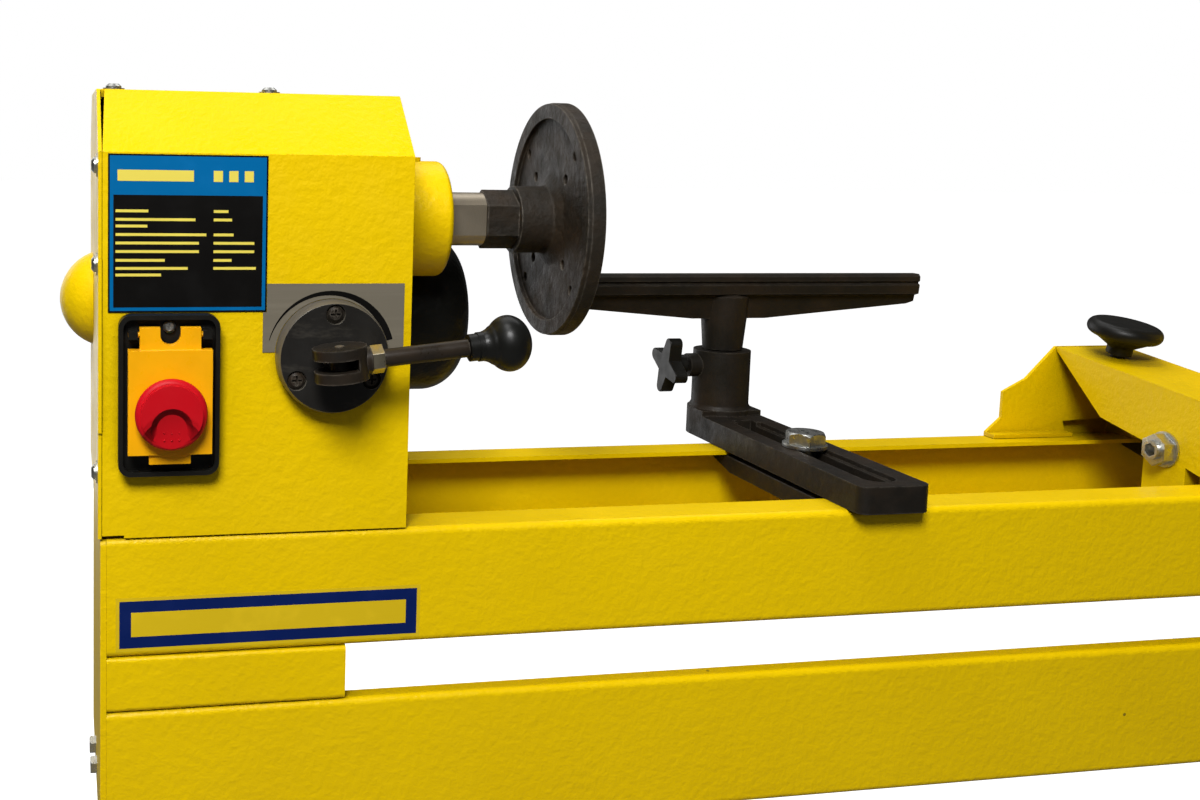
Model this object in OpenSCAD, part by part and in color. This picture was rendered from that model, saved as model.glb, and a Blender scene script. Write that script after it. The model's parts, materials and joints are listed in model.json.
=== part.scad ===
// Wood lathe: tube bed on a splayed stand, variable-speed headstock, tool rest and tailstock.
// The bed runs along X with the headstock at -X. The operator stands at -Y, and +Z is up.
// The origin is on the floor, under the middle of the bed.

/* [Bed] */
// Length of the rails
bed_len = 1440; // [1300:10:1700]
// Width over both upper rails
bed_w = 188; // [188:1:190]
// Height of an upper rail
rail_h = 68.5; // [66:0.5:72]
// Depth of an upper rail
rail_d = 28; // [26:1:30]
// Sheet thickness of the rails
rail_t = 3; // [2.5:0.5:3]
// Height of the spacer blocks under the front rail
spacer_h = 32; // [30:1:36]
// Length of a spacer block
spacer_len = 136.5; // [120:0.5:150]
// Height of the lower front rail
low_rail_h = 84; // [80:1:90]
// Depth of the lower front rail
low_rail_d = 12; // [12:1:20]
// Thickness of the end plates
end_plate_t = 3.5; // [3:0.5:4]

/* [Stand] */
// Height of the rail tops above the floor
rail_top = 880; // [840:10:920]
// Sheet thickness of the legs
leg_t = 4; // [3:0.5:5]
// Half of the width over both feet of one end
foot_reach = 265; // [250:5:300]
// Depth of the leg flanges along the bed
leg_flange = 36; // [30:1:40]

/* [Headstock] */
// Height of the spindle axis above the rails
centre_h = 173; // [173:1:174]
// Length of the case along the bed
case_len = 173; // [172:0.5:175]
// Height of the case
case_h = 248; // [246:1:252]
// Height at which the front of the case bends back
bend_h = 213.5; // [210:0.5:216]
// How far the case reaches behind the spindle axis
case_back = 121; // [120:1:126]
// How far the bend sets the top back
bend_back = 39; // [34:1:42]
// Sheet thickness of the case
case_t = 3; // [2.5:0.5:3]
// Diameter of the bearing housing's round boss
boss_d = 73; // [70:1:74]
// How far the boss stands out of the case
boss_len = 41.5; // [38:0.5:44]
// Radius of the round dome on the side cover
dome_r = 30; // [28:1:32]

/* [Spindle and drive] */
// Diameter of the spindle nose
nose_d = 34; // [33:0.5:34]
// Diameter of the faceplate
faceplate_d = 150; // [140:1:152]
// Outer radius of each sheave
sheave_r = 44; // [43:0.5:44]
// Radius of the motor drum
motor_r = 54; // [52:0.5:54]

/* [Speed lever] */
// Length of the lever from its axis to the end of its knob
lever_len = 108; // [104:1:112]
// Angle of the lever above level at rest
lever_tilt = 6; // [6:1:6]
// Diameter of the lever's round flange
flange_d = 63.5; // [62:0.5:65]

/* [Tool rest] */
// Length of the tool rest
rest_len = 310; // [280:5:320]
// Diameter of the tool rest's post
post_d = 27; // [25:0.5:28]
// Distance of the carriage from the left end of the bed
carriage_x = 477; // [470:1:520]

/* [Tailstock] */
// Distance of the saddle's left foot from the left end of the bed
saddle_x = 685; // [685:1:695]
// Diameter of the quill
quill_d = 28; // [26:0.5:30]
// Diameter of the handwheel
handwheel_d = 120; // [110:1:130]

/* [Hidden] */
$fn = 64;

gap = 0.3;                              // air between pieces of different bodies
fit = 0.03;                             // radial clearance of a running fit
yellow = [0.93, 0.76, 0.02];
black = [0.10, 0.10, 0.10];
iron = [0.17, 0.15, 0.13];
steel = [0.70, 0.71, 0.72];

half_w = bed_w / 2;
front_y = -half_w;                      // front face of the rails and of the headstock
low_top = -rail_h - spacer_h;           // top of the lower front rail
bed_bottom = low_top - low_rail_h;
case_x0 = -2.5;                         // left edge of the case
case_x1 = case_x0 + case_len;
boss_x1 = case_x1 + boss_len;
cover_x = case_x0 - gap;                // inner face of the side cover
cover_t = 2;
motor_y = 62;
motor_z = 106;
motor_x1 = 243;
dome_y = 60;
dome_z = 116;

// ---------- shared shapes; every module below works in bed coordinates ----------

// Bed coordinates: X from the left end of the rails, Z from the rail tops
module on_bed() {
    translate([-bed_len / 2, 0, rail_top]) children();
}

// Round bar along X, Y or Z between two places
module bar_x(d, x0, x1, y = 0, z = 0) {
    translate([x0, y, z]) rotate([0, 90, 0]) cylinder(d = d, h = x1 - x0);
}

module bar_y(d, y0, y1, x = 0, z = 0) {
    translate([x, y1, z]) rotate([90, 0, 0]) cylinder(d = d, h = y1 - y0);
}

module bar_z(d, z0, z1, x = 0, y = 0) {
    translate([x, y, z0]) cylinder(d = d, h = z1 - z0);
}

// Block from its lowest to its highest corner
module block(low, high) {
    translate(low) cube(high - low);
}

// Outline of [y, z] points drawn along X, and of [x, z] points drawn along Y
module drawn_x(x0, x1) {
    translate([x0, 0, 0]) rotate([90, 0, 90]) linear_extrude(x1 - x0) children();
}

module drawn_y(y0, y1) {
    translate([0, y1, 0]) rotate([90, 0, 0]) linear_extrude(y1 - y0) children();
}

// Profile of [radius, length] points turned about X
module turned_x(x, y, z) {
    translate([x, y, z]) rotate([0, 90, 0]) rotate_extrude() children();
}

// Rectangle with round corners
module round_rect(w, h, r) {
    square([w - 2 * r, h], center = true);
    square([w, h - 2 * r], center = true);
    for (sx = [-1, 1]) {
        for (sy = [-1, 1]) {
            translate([sx * (w / 2 - r), sy * (h / 2 - r)]) circle(r);
        }
    }
}

// Hexagon across flats
module hex(af) {
    circle(d = af / cos(30), $fn = 6);
}

// Low pan head with a cross recess, standing on z = 0
module pan_screw(d) {
    side_h = d * 0.22;
    top_h = d * 0.16;
    slot = d * 0.56;
    slot_t = d * 0.13;
    difference() {
        union() {
            cylinder(d = d, h = side_h);
            translate([0, 0, side_h]) cylinder(d1 = d, d2 = d * 0.62, h = top_h);
        }
        translate([-slot / 2, -slot_t / 2, side_h]) cube([slot, slot_t, d]);
        translate([-slot_t / 2, -slot / 2, side_h]) cube([slot_t, slot, d]);
    }
}

// The same screw with a washer under its head
module washer_screw(d) {
    cylinder(d = d * 1.4, h = d * 0.1);
    pan_screw(d);
}

// Hex head bolt end standing on z = 0
module hex_head(af, h) {
    intersection() {
        linear_extrude(h) hex(af);
        translate([0, 0, h - 60]) cylinder(d1 = af * 1.1 + 120, d2 = af * 1.0, h = 60);
    }
}

// ---------- bed ----------

// Channel that opens towards +Y, in the [y, z] plane, with rounded outer bends
module channel(depth, height, thick, bend) {
    difference() {
        union() {
            translate([bend, -height]) square([depth - bend, height]);
            translate([0, bend - height]) square([bend + 1, height - 2 * bend]);
            translate([bend, -bend]) circle(bend);
            translate([bend, bend - height]) circle(bend);
        }
        translate([thick, thick - height]) square([depth, height - 2 * thick]);
    }
}

module upper_rail() {
    drawn_x(0, bed_len) translate([front_y, 0]) channel(rail_d, rail_h, rail_t, 4);
}

module front_rail() {
    color(yellow) on_bed() upper_rail();
}

module rear_rail() {
    color(yellow) on_bed() mirror([0, 1, 0]) upper_rail();
}

module front_lower_rail() {
    color(yellow) on_bed() drawn_x(0, bed_len) translate([front_y, low_top])
        channel(low_rail_d, low_rail_h, rail_t, 4);
}

module rail_spacers() {
    color(yellow) on_bed() for (x = [0, bed_len - spacer_len]) {
        drawn_x(x, x + spacer_len) translate([front_y + rail_d / 2, -rail_h - spacer_h / 2]) difference() {
            round_rect(rail_d, spacer_h, 3);
            square([rail_d - 5, spacer_h - 5], center = true);
        }
    }
}

leg_bolt_y = 14;                        // bolts through each end plate into the legs
leg_bolt_z = -168;
bolt_hole = 6.6;
frame_bolt_d = 6;
frame_bolt_af = 10;

module end_plates() {
    color(yellow) on_bed() for (x = [-end_plate_t, bed_len]) {
        difference() {
            drawn_x(x, x + end_plate_t) translate([0, bed_bottom / 2])
                round_rect(bed_w - 1, -bed_bottom - 1, 4);
            for (s = [-1, 1]) {
                bar_x(bolt_hole, x - 1, x + end_plate_t + 1, s * leg_bolt_y, leg_bolt_z);
            }
        }
    }
}

// ---------- stand ----------

leg_top_z = -140;
leg_in_top = 4;                         // inner edge of a leg at its top
leg_out_top = 69;
leg_split_z = -182;                     // height from which the inner edges part
foot_z = 6 - rail_top;                  // top of the foot pad
leg_in_foot = foot_reach - 62;
foot_x0 = -38;
foot_x1 = 42;
foot_hole_x = -20;
foot_hole_y = foot_reach - 32;
out_lean = (foot_reach - leg_out_top) / (leg_top_z - foot_z);
in_lean = (leg_in_foot - leg_in_top) / (leg_split_z - foot_z);

function leg_out(z) = leg_out_top + (leg_top_z - z) * out_lean;
function leg_in(z) = leg_in_top + (leg_split_z - z) * in_lean;

// One leg of the left end, on the +Y side: web inside the end plate, flanges under the bed
module leg() {
    flange_z = bed_bottom - 4;
    difference() {
        union() {
            drawn_x(0, leg_t) polygon([
                [leg_in_top, leg_split_z], [leg_in_top, leg_top_z], [leg_out_top, leg_top_z],
                [foot_reach, foot_z], [leg_in_foot, foot_z]]);
            drawn_x(0, leg_flange) polygon([
                [leg_out(flange_z) - leg_t, flange_z], [leg_out(flange_z), flange_z],
                [foot_reach, foot_z], [foot_reach - leg_t, foot_z]]);
            drawn_x(0, leg_flange) polygon([
                [leg_in(flange_z), flange_z], [leg_in(flange_z) + leg_t, flange_z],
                [leg_in_foot + leg_t, foot_z], [leg_in_foot, foot_z]]);
            block([foot_x0, leg_in_foot, -rail_top], [foot_x1, foot_reach, foot_z]);
        }
        bar_x(bolt_hole, -1, leg_t + 1, leg_bolt_y, leg_bolt_z);
        bar_x(bolt_hole, -1, leg_t + 1, brace_y, brace_z);
        bar_z(11, -rail_top - 1, foot_z + 1, foot_hole_x, foot_hole_y);
    }
}

brace_z = 260 - rail_top;
brace_y = (leg_out(brace_z) + leg_in(brace_z)) / 2;
brace_t = 3;

module at_end(right) {
    translate([right ? bed_len : 0, 0, 0]) mirror([right ? 1 : 0, 0, 0]) children();
}

module front_leg_left() {
    color(black) on_bed() at_end(false) mirror([0, 1, 0]) leg();
}

module rear_leg_left() {
    color(black) on_bed() at_end(false) leg();
}

module front_leg_right() {
    color(black) on_bed() at_end(true) mirror([0, 1, 0]) leg();
}

module rear_leg_right() {
    color(black) on_bed() at_end(true) leg();
}

// Angle bars across the outside of each pair of legs
module leg_braces() {
    reach = brace_y + 22;
    half = 20;
    color(black) on_bed() for (right = [false, true]) {
        at_end(right) difference() {
            union() {
                block([-brace_t, -reach, brace_z - half], [0, reach, brace_z + half]);
                block([-26, -reach, brace_z + half - brace_t], [0, reach, brace_z + half]);
            }
            for (s = [-1, 1]) {
                bar_x(bolt_hole, -brace_t - 1, 1, s * brace_y, brace_z);
            }
        }
    }
}

// Head outside, shank and nut inside
module cross_bolt(grip) {
    rotate([0, -90, 0]) hex_head(frame_bolt_af, 4);
    bar_x(frame_bolt_d, 0, grip + 8);
    translate([grip, 0, 0]) rotate([0, 90, 0]) linear_extrude(5) hex(frame_bolt_af);
}

module frame_bolts() {
    color(steel) on_bed() for (right = [false, true]) {
        at_end(right) for (s = [-1, 1]) {
            translate([-end_plate_t, s * leg_bolt_y, leg_bolt_z]) cross_bolt(end_plate_t + leg_t);
            translate([-brace_t, s * brace_y, brace_z]) cross_bolt(brace_t + leg_t);
        }
    }
}

// ---------- headstock ----------

case_z0 = gap;

// Side outline of the case in [y, z], drawn inwards by an inset
module case_outline(inset) {
    polygon([
        [front_y + inset, case_z0 + inset], [case_back - inset, case_z0 + inset],
        [case_back - inset, bend_h - inset * 0.4], [case_back - bend_back - inset * 0.6, case_h - inset],
        [front_y + bend_back + inset * 0.6, case_h - inset], [front_y + inset, bend_h - inset * 0.4]]);
}

lever_x = 124.3;
lever_z = 101.6;
top_screws = [[5, -45], [94.5, -45]];   // [x, y]
cover_screw_y = -84;
cover_screws = [36, 152, 206];          // heights

module headstock_case() {
    color(yellow) on_bed() difference() {
        drawn_x(case_x0, case_x1) case_outline(0);
        drawn_x(case_x0 - 1, case_x1 - case_t) case_outline(case_t);
        // Wedge between the case's slant and the side cover
        drawn_y(front_y - 1, front_y + bend_back) polygon([
            [case_x0 - 1, bend_h], [case_x0, bend_h],
            [case_x0 + 2.2, case_h + 1], [case_x0 - 1, case_h + 1]]);
        bar_x(boss_d + 2 * fit, case_x1 - case_t - 1, case_x1 + 1, 0, centre_h);
        bar_x(motor_r * 2 + 2, motor_x0 - 2, case_x1 + 1, motor_y, motor_z);
        bar_y(16, front_y - 1, front_y + case_t + 1, lever_x, lever_z);
        block([20, -40, -1], [110, 40, case_t + 1]);
        block([12, front_y - 1, 54], [57, front_y + case_t + 1, 112]);
        // Relief under the corner of the front wall
        block([case_x0 - 1, front_y - 1, case_z0 - 1], [case_x0 + 12, front_y + case_t + 1, case_z0 + 1.6]);
        bar_y(16, case_back - case_t - 1, case_back + 1, gland_x, gland_z);
    }
}

module side_cover() {
    lip = 8;
    color(yellow) on_bed() {
        difference() {
            union() {
                drawn_x(cover_x - cover_t, cover_x) case_outline(0);
                // Pressed dome over the end of the motor sheave
                turned_x(cover_x - cover_t, dome_y, dome_z) dome_profile(dome_r, 21);
            }
            turned_x(cover_x + 0.01, dome_y, dome_z) dome_profile(dome_r - 2, 21);
            block([cover_x - 0.01, -200, -10], [cover_x + 30, 200, 300]);
        }
        // Folded lip behind the slant's edge
        drawn_x(cover_x - cover_t, cover_x) translate([front_y - 1.2, 60]) square([1.4, lip * 12]);
    }
}

// Quarter profile of a shallow dome that bulges towards -X when turned about X
module dome_profile(r, h) {
    ball = (r * r + h * h) / (2 * h);
    intersection() {
        translate([0, ball - h]) circle(ball, $fn = 96);
        translate([0, -h]) square([r, h]);
    }
}

module case_screws() {
    color(steel) on_bed() {
        for (p = top_screws) {
            translate([p[0], p[1], case_h]) washer_screw(9);
        }
        for (z = cover_screws) {
            translate([cover_x - cover_t, cover_screw_y, z]) rotate([0, -90, 0]) washer_screw(9);
        }
        translate([switch_x, base_floor, 119.2]) rotate([90, 0, 0]) pan_screw(7);
    }
}

gland_x = 40;
gland_z = 30;

// Empty cable gland at the back of the case
module cable_gland() {
    color(black) on_bed() difference() {
        union() {
            bar_y(15.8, case_back - case_t - 6, case_back + 4, gland_x, gland_z);
            translate([gland_x, case_back, gland_z]) rotate([-90, 0, 0]) linear_extrude(5) hex(20);
            bar_y(16, case_back + 5, case_back + 17, gland_x, gland_z);
        }
        bar_y(8, case_back - 40, case_back + 20, gland_x, gland_z);
    }
}

bearing_d = 62;
bearing_w = 16;
front_bearing_x = 182;
rear_bearing_x = 80;
journal_d = 30;
plate_x = 62;                           // face of the plate that carries the motor
plate_t = 5.5;
motor_x0 = plate_x + plate_t;

// Casting that carries the spindle bearings and, on its plate, the motor
module bearing_housing() {
    tube_x0 = plate_x + plate_t;
    round_r = 4;
    color(yellow) on_bed() {
        difference() {
            union() {
                bar_x(boss_d, case_x1 - case_t - 6, boss_x1 - round_r, 0, centre_h);
                turned_x(boss_x1 - round_r, 0, centre_h) {
                    square([boss_d / 2 - round_r, round_r]);
                    intersection() {
                        translate([boss_d / 2 - round_r, 0]) circle(round_r);
                        square([boss_d, round_r]);
                    }
                }
                bar_x(boss_d + 14, case_x1 - case_t - 8, case_x1 - case_t, 0, centre_h);
                bar_x(70, plate_x, case_x1 - case_t - 4, 0, centre_h);
                drawn_x(plate_x, plate_x + plate_t) polygon([
                    [-52, 126], [10, 54], [110, 54], [110, 158], [30, 210], [-30, 210], [-52, 144]]);
            }
            bar_x(bearing_d + 0.02, front_bearing_x, front_bearing_x + bearing_w, 0, centre_h);
            bar_x(bearing_d + 0.02, plate_x - 1, rear_bearing_x + bearing_w, 0, centre_h);
            bar_x(54, plate_x, front_bearing_x + 1, 0, centre_h);
            bar_x(nose_d + 1.4, front_bearing_x, boss_x1 + 1, 0, centre_h);
            bar_x(30, plate_x - 1, plate_x + plate_t + 1, motor_y, motor_z);
            // Clearance for the motor drum beside the tube
            bar_x(motor_r * 2 + 0.8, tube_x0, case_x1 + 90, motor_y, motor_z);
        }
        // Oil cap on top of the boss
        translate([boss_x1 - 18, 0, centre_h + boss_d / 2 - 0.6]) cylinder(d = 9, h = 3);
    }
}

module ring_x(outer, inner, x0, x1, y, z) {
    difference() {
        bar_x(outer, x0, x1, y, z);
        bar_x(inner, x0 - 1, x1 + 1, y, z);
    }
}

module spindle_bearings() {
    color(steel) on_bed() for (x = [rear_bearing_x, front_bearing_x]) {
        ring_x(bearing_d, journal_d + 2 * fit, x, x + bearing_w, 0, centre_h);
    }
}

spindle_end = 262;
hub_x = 239;                            // left end of the faceplate's hub

module spindle() {
    flats = 28;
    color(steel) on_bed() difference() {
        union() {
            bar_x(20, 1, 6, 0, centre_h);
            bar_x(25, 6, 64, 0, centre_h);
            bar_x(journal_d, 64, front_bearing_x + bearing_w + 1, 0, centre_h);
            bar_x(nose_d, front_bearing_x + bearing_w + gap, hub_x, 0, centre_h);
            bar_x(25, hub_x - 1, spindle_end + 18, 0, centre_h);
            bar_x(34, 3, 6, 0, centre_h);
        }
        bar_x(9, 0, spindle_end + 20, 0, centre_h);
        translate([spindle_end + 18, 0, centre_h]) rotate([0, -90, 0]) cylinder(d1 = 18, d2 = 14, h = 50);
        for (side = [0, 1]) {
            mirror([0, side, 0])
                block([boss_x1 - 1, flats / 2, centre_h - nose_d], [hub_x + 1, nose_d, centre_h + nose_d]);
        }
    }
}

plate_back = 282.5;
plate_front = 294;

// Round holes on a circle in the faceplate, at 45 degrees
module face_holes(pcd, d, depth_x0) {
    for (a = [45:90:315]) {
        bar_x(d, depth_x0, plate_front + 1, pcd / 2 * cos(a), centre_h + pcd / 2 * sin(a));
    }
}

module faceplate() {
    rim = 3;
    color(iron) on_bed() difference() {
        union() {
            translate([hub_x, 0, centre_h]) rotate([0, 90, 0]) linear_extrude(23) hex(33);
            bar_x(43, hub_x + 21, plate_back + 1, 0, centre_h);
            bar_x(faceplate_d, plate_back + rim, plate_front, 0, centre_h);
            ring_x(faceplate_d - 1, faceplate_d - 20, plate_back, plate_back + rim + 1, 0, centre_h);
            turned_x(plate_back + rim - 12, 0, centre_h)
                polygon([[19, 0], [22, 8], [30, 12], [30, 13], [0, 13], [0, 0]]);
        }
        bar_x(25, hub_x - 1, plate_front + 1, 0, centre_h);
        face_holes(118, 6.5, plate_back);
        face_holes(76, 6.5, plate_back);
    }
}

// ---------- variable-speed drive ----------

belt_x = 26;
belt_w = 17.6;
belt_half_t = 4;
slope = tan(13);
spindle_belt_r = 24;
motor_belt_r = 39;
disc_t = 4;

// Sheave half turned about X: its cone face passes face_x at face_r, and side is +1 when it is on the right
module sheave_half(side, face_x, face_r, y, z, bore, hub_d, hub_to) {
    root_r = hub_d / 2;
    root_x = face_x + side * (root_r - face_r) * slope;
    rim_x = face_x + side * (sheave_r - face_r) * slope;
    translate([0, y, z]) rotate([0, 90, 0]) rotate_extrude() polygon([
        [bore / 2, root_x], [root_r, root_x], [sheave_r, rim_x], [sheave_r, rim_x + side * 3],
        [root_r + 3, root_x + side * (disc_t + 3)], [root_r, hub_to], [bore / 2, hub_to]]);
}

module spindle_fixed_sheave() {
    color(steel) on_bed() sheave_half(-1, belt_x - 10, spindle_belt_r, 0, centre_h, 25 + 0.02, 34, 7);
}

module spindle_sliding_sheave() {
    groove_x = 56;
    color(steel) on_bed() difference() {
        sheave_half(1, belt_x + 10, spindle_belt_r, 0, centre_h, 25 + 2 * fit, 36, 61.5);
        ring_x(40, 30, groove_x - 3.5, groove_x + 2.5, 0, centre_h);
    }
}

motor_shaft_d = 18;

module motor_fixed_sheave() {
    color(steel) on_bed()
        sheave_half(1, belt_x + 10, motor_belt_r, motor_y, motor_z, motor_shaft_d + 0.02, 26, 47);
}

module motor_sliding_sheave() {
    color(steel) on_bed()
        sheave_half(-1, belt_x - 10, motor_belt_r, motor_y, motor_z, motor_shaft_d + 2 * fit, 26, 8);
}

collar_x = -12;                         // collar at the left end of the motor shaft
collar_w = 2.5;
spring_x0 = collar_x + collar_w + gap;
spring_x1 = 8 - gap;                    // where the hub of the sliding sheave starts

module motor_shaft() {
    color(steel) on_bed() {
        bar_x(motor_shaft_d, collar_x, motor_x1 - 30, motor_y, motor_z);
        // Rotor stack and the collar that holds the spring
        bar_x(68, motor_x0 + 30, motor_x1 - 45, motor_y, motor_z);
        ring_x(24, motor_shaft_d - 2, collar_x, collar_x + collar_w, motor_y, motor_z);
    }
}

// Spring as stacked rings between the collar and the sliding sheave
module sheave_spring() {
    turns = 4;
    wire = 2.2;
    coil_r = 10.8;
    pitch = (spring_x1 - spring_x0 - wire) / (turns - 1);
    color(steel) on_bed() for (i = [0:turns - 1]) {
        turned_x(spring_x0 + wire / 2 + i * pitch, motor_y, motor_z)
            translate([coil_r, 0]) circle(wire / 2, $fn = 24);
    }
}

// Drum of the motor with a rounded right end, hollow for the rotor
module motor_case() {
    edge = 27;
    inner = 3;
    color(black) on_bed() difference() {
        union() {
            bar_x(motor_r * 2, motor_x0, motor_x1 - edge, motor_y, motor_z);
            turned_x(motor_x1 - edge, motor_y, motor_z) {
                square([motor_r - edge, edge]);
                intersection() {
                    translate([motor_r - edge, 0]) circle(edge);
                    square([motor_r, edge]);
                }
            }
        }
        bar_x(72, motor_x0 + inner, motor_x1 - 25, motor_y, motor_z);
        bar_x(motor_shaft_d + 2 * fit, motor_x0 - 1, motor_x0 + inner + 1, motor_y, motor_z);
        for (x = [motor_x1 - 60:8:motor_x1 - 28]) {
            translate([x, motor_y + motor_r - 1, motor_z]) cube([3, 6, 40], center = true);
        }
    }
}

// Loop round both sheaves at a radial offset from the pitch line, as a [y, z] outline
module belt_loop(extra) {
    hull() {
        translate([0, centre_h]) circle(spindle_belt_r + extra);
        translate([motor_y, motor_z]) circle(motor_belt_r + extra);
    }
}

module drive_belt() {
    color(black) on_bed() drawn_x(belt_x - belt_w / 2, belt_x + belt_w / 2) difference() {
        belt_loop(belt_half_t);
        belt_loop(-belt_half_t);
    }
}

// ---------- speed lever ----------

flange_t = 12;
flange_y = front_y - flange_t;          // front face of the flange
fork_y = flange_y - 16;                 // axis of the fork's pin
shaft_d = 14;
crank_r = 4.27;                         // throw of the pin that moves the shift fork
crank_angle = 30;                       // direction of the throw with the lever at rest
crank_y = front_y + 34;
fork_d = 30;
fork_half = 9.2;                        // half of the fork's height
fork_slot = 6.5;
pin_d = 5;
thread_d = 6;

module at_lever() {
    translate([lever_x, 0, lever_z]) rotate([0, -lever_tilt, 0]) children();
}

module lever_flange() {
    color(iron) on_bed() difference() {
        union() {
            bar_y(flange_d, front_y - 7, front_y, lever_x, lever_z);
            translate([lever_x, front_y - 7, lever_z]) rotate([90, 0, 0])
                cylinder(d1 = flange_d, d2 = flange_d - 2.4, h = flange_t - 7);
        }
        bar_y(shaft_d + 2 * fit, flange_y - 1, front_y + 1, lever_x, lever_z);
        for (a = [90:120:330]) {
            bar_y(11, flange_y - 1, flange_y + 4, lever_x + 24.5 * cos(a), lever_z + 24.5 * sin(a));
        }
    }
}

module flange_screws() {
    color(black) on_bed() for (a = [90:120:330]) {
        translate([lever_x + 24.5 * cos(a), flange_y + 4, lever_z + 24.5 * sin(a)])
            rotate([90, 0, 0]) pan_screw(10);
    }
}

module lever_shaft() {
    tongue = fork_slot - 2 * gap;
    color(iron) on_bed() at_lever() difference() {
        union() {
            bar_y(shaft_d, flange_y - 0.6, crank_y, 0, 0);
            bar_y(24, crank_y - 6, crank_y, 0, 0);
            block([-6, fork_y, -tongue / 2], [6, flange_y - 0.4, tongue / 2]);
            bar_z(12, -tongue / 2, tongue / 2, 0, fork_y);
            bar_y(6, crank_y - 1, crank_y + 12,
                  crank_r * cos(crank_angle - lever_tilt), crank_r * sin(crank_angle - lever_tilt));
        }
        bar_z(pin_d + 0.02, -20, 20, 0, fork_y);
    }
}

module lever_pin() {
    color(steel) on_bed() at_lever() bar_z(pin_d, -fork_half - 0.4, fork_half + 0.4, 0, fork_y);
}

module handle_fork() {
    stem_x1 = fork_d / 2 + 1.5;
    color(iron) on_bed() at_lever() difference() {
        union() {
            bar_z(fork_d, -fork_half, fork_half, 0, fork_y);
            bar_x(15, 8, stem_x1, fork_y, 0);
        }
        block([-20, fork_y - 20, -fork_slot / 2], [7.6, fork_y + 20, fork_slot / 2]);
        bar_z(pin_d + 2 * fit, -20, 20, 0, fork_y);
        bar_x(thread_d, 9, stem_x1 + 1, fork_y, 0);
    }
}

nut_x = fork_d / 2 + 1.7;
nut_w = 6.8;
rod_end = lever_len - 30;

module handle_rod() {
    rod_x0 = nut_x + nut_w + gap;
    color(iron) on_bed() at_lever() {
        bar_x(thread_d, 9.4, rod_x0 + 1, fork_y, 0);
        bar_x(10, rod_x0, rod_end - 6, fork_y, 0);
        bar_x(thread_d, rod_end - 7, rod_end + 12, fork_y, 0);
    }
}

module handle_nut() {
    color(steel) on_bed() at_lever() difference() {
        translate([nut_x, fork_y, 0]) rotate([0, 90, 0]) linear_extrude(nut_w) hex(14);
        bar_x(thread_d + 0.04, nut_x - 1, nut_x + nut_w + 1, fork_y, 0);
    }
}

// Pear-shaped knob turned about the rod
module handle_knob() {
    bulb_r = 15.8;
    bulb_half = 12.8;
    bulb_y = 23;
    color(black) on_bed() at_lever() difference() {
        translate([rod_end - 5.8, fork_y, 0]) rotate([0, 90, 0]) rotate_extrude() difference() {
            union() {
                square([7.6, 5.2]);
                polygon([[0, 5], [8.2, 5], [8.2, 8], [13.5, 18], [0, 18]]);
                translate([0, bulb_y]) scale([bulb_r / bulb_half, 1]) circle(bulb_half);
            }
            translate([17.2, 6.4]) circle(9);
            translate([-30, -20]) square([30, 80]);
        }
        bar_x(thread_d + 0.04, rod_end - 8, rod_end + 12.1, fork_y, 0);
    }
}

guide_y = -42;
guide_z = 134;
yoke_x = 56;

// Fixed rod that the shift fork slides on
module fork_guide_rod() {
    color(steel) on_bed() bar_x(10, plate_x + plate_t, case_x1 - case_t, guide_y, guide_z);
}

// Slides along the guide rod; the crank pin moves it through an upright slot
module shift_fork() {
    slot_w = 7.8;
    pin_x = lever_x + crank_r * cos(crank_angle);
    color(iron) on_bed() difference() {
        union() {
            bar_x(20, 78, 138, guide_y, guide_z);
            block([pin_x - 12, crank_y + 3, lever_z - 14], [pin_x + 12, crank_y + 11, guide_z]);
            block([yoke_x - 2, -64, guide_z - 6], [84, -54, guide_z + 8]);
            block([78, -64, guide_z - 6], [84, guide_y, guide_z + 8]);
            drawn_x(yoke_x - 2, yoke_x + 2) difference() {
                union() {
                    translate([0, centre_h]) circle(25);
                    polygon([
                        [-64, guide_z - 6], [-54, guide_z - 6], [-6, 150], [-20, 192], [-64, guide_z + 8]]);
                }
                translate([0, centre_h]) circle(17);
                translate([0, centre_h - 60]) square([60, 120]);
            }
        }
        bar_x(10 + 2 * fit, 40, 170, guide_y, guide_z);
        block([pin_x - slot_w / 2, crank_y, lever_z - 9], [pin_x + slot_w / 2, crank_y + 20, lever_z + 9]);
    }
}

// ---------- plates and switch on the front ----------

module rating_label() {
    color("navy") on_bed() block([0.5, front_y - 0.5, 126.5], [87.3, front_y, 212.5]);
}

module speed_scale() {
    color("gray") on_bed() drawn_y(front_y - 0.4, front_y) difference() {
        polygon([[85.5, 103.6], [166, 103.6], [166, 142], [87.6, 142], [87.6, 126.2], [85.5, 126.2]]);
        translate([lever_x, lever_z]) circle(flange_d / 2 + gap);
    }
}

switch_x = 33.4;
switch_z = 81.5;
switch_w = 55;
switch_tall = 89;
base_t = 9;
base_floor = front_y - 4;               // floor of the recess in the base
hinge_z = 116;                          // axis of the flap
hinge_y = front_y - 12;
hinge_pin = 3;
lug_x = 20;                             // middle of each hinge lug from the switch's middle
lug_half = 2.5;
start_z = 98;
start_d = 16;
cap_z = 74.3;                           // axis of the red mushroom
cap_y = front_y - 29;                   // outer face of the mushroom

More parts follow.
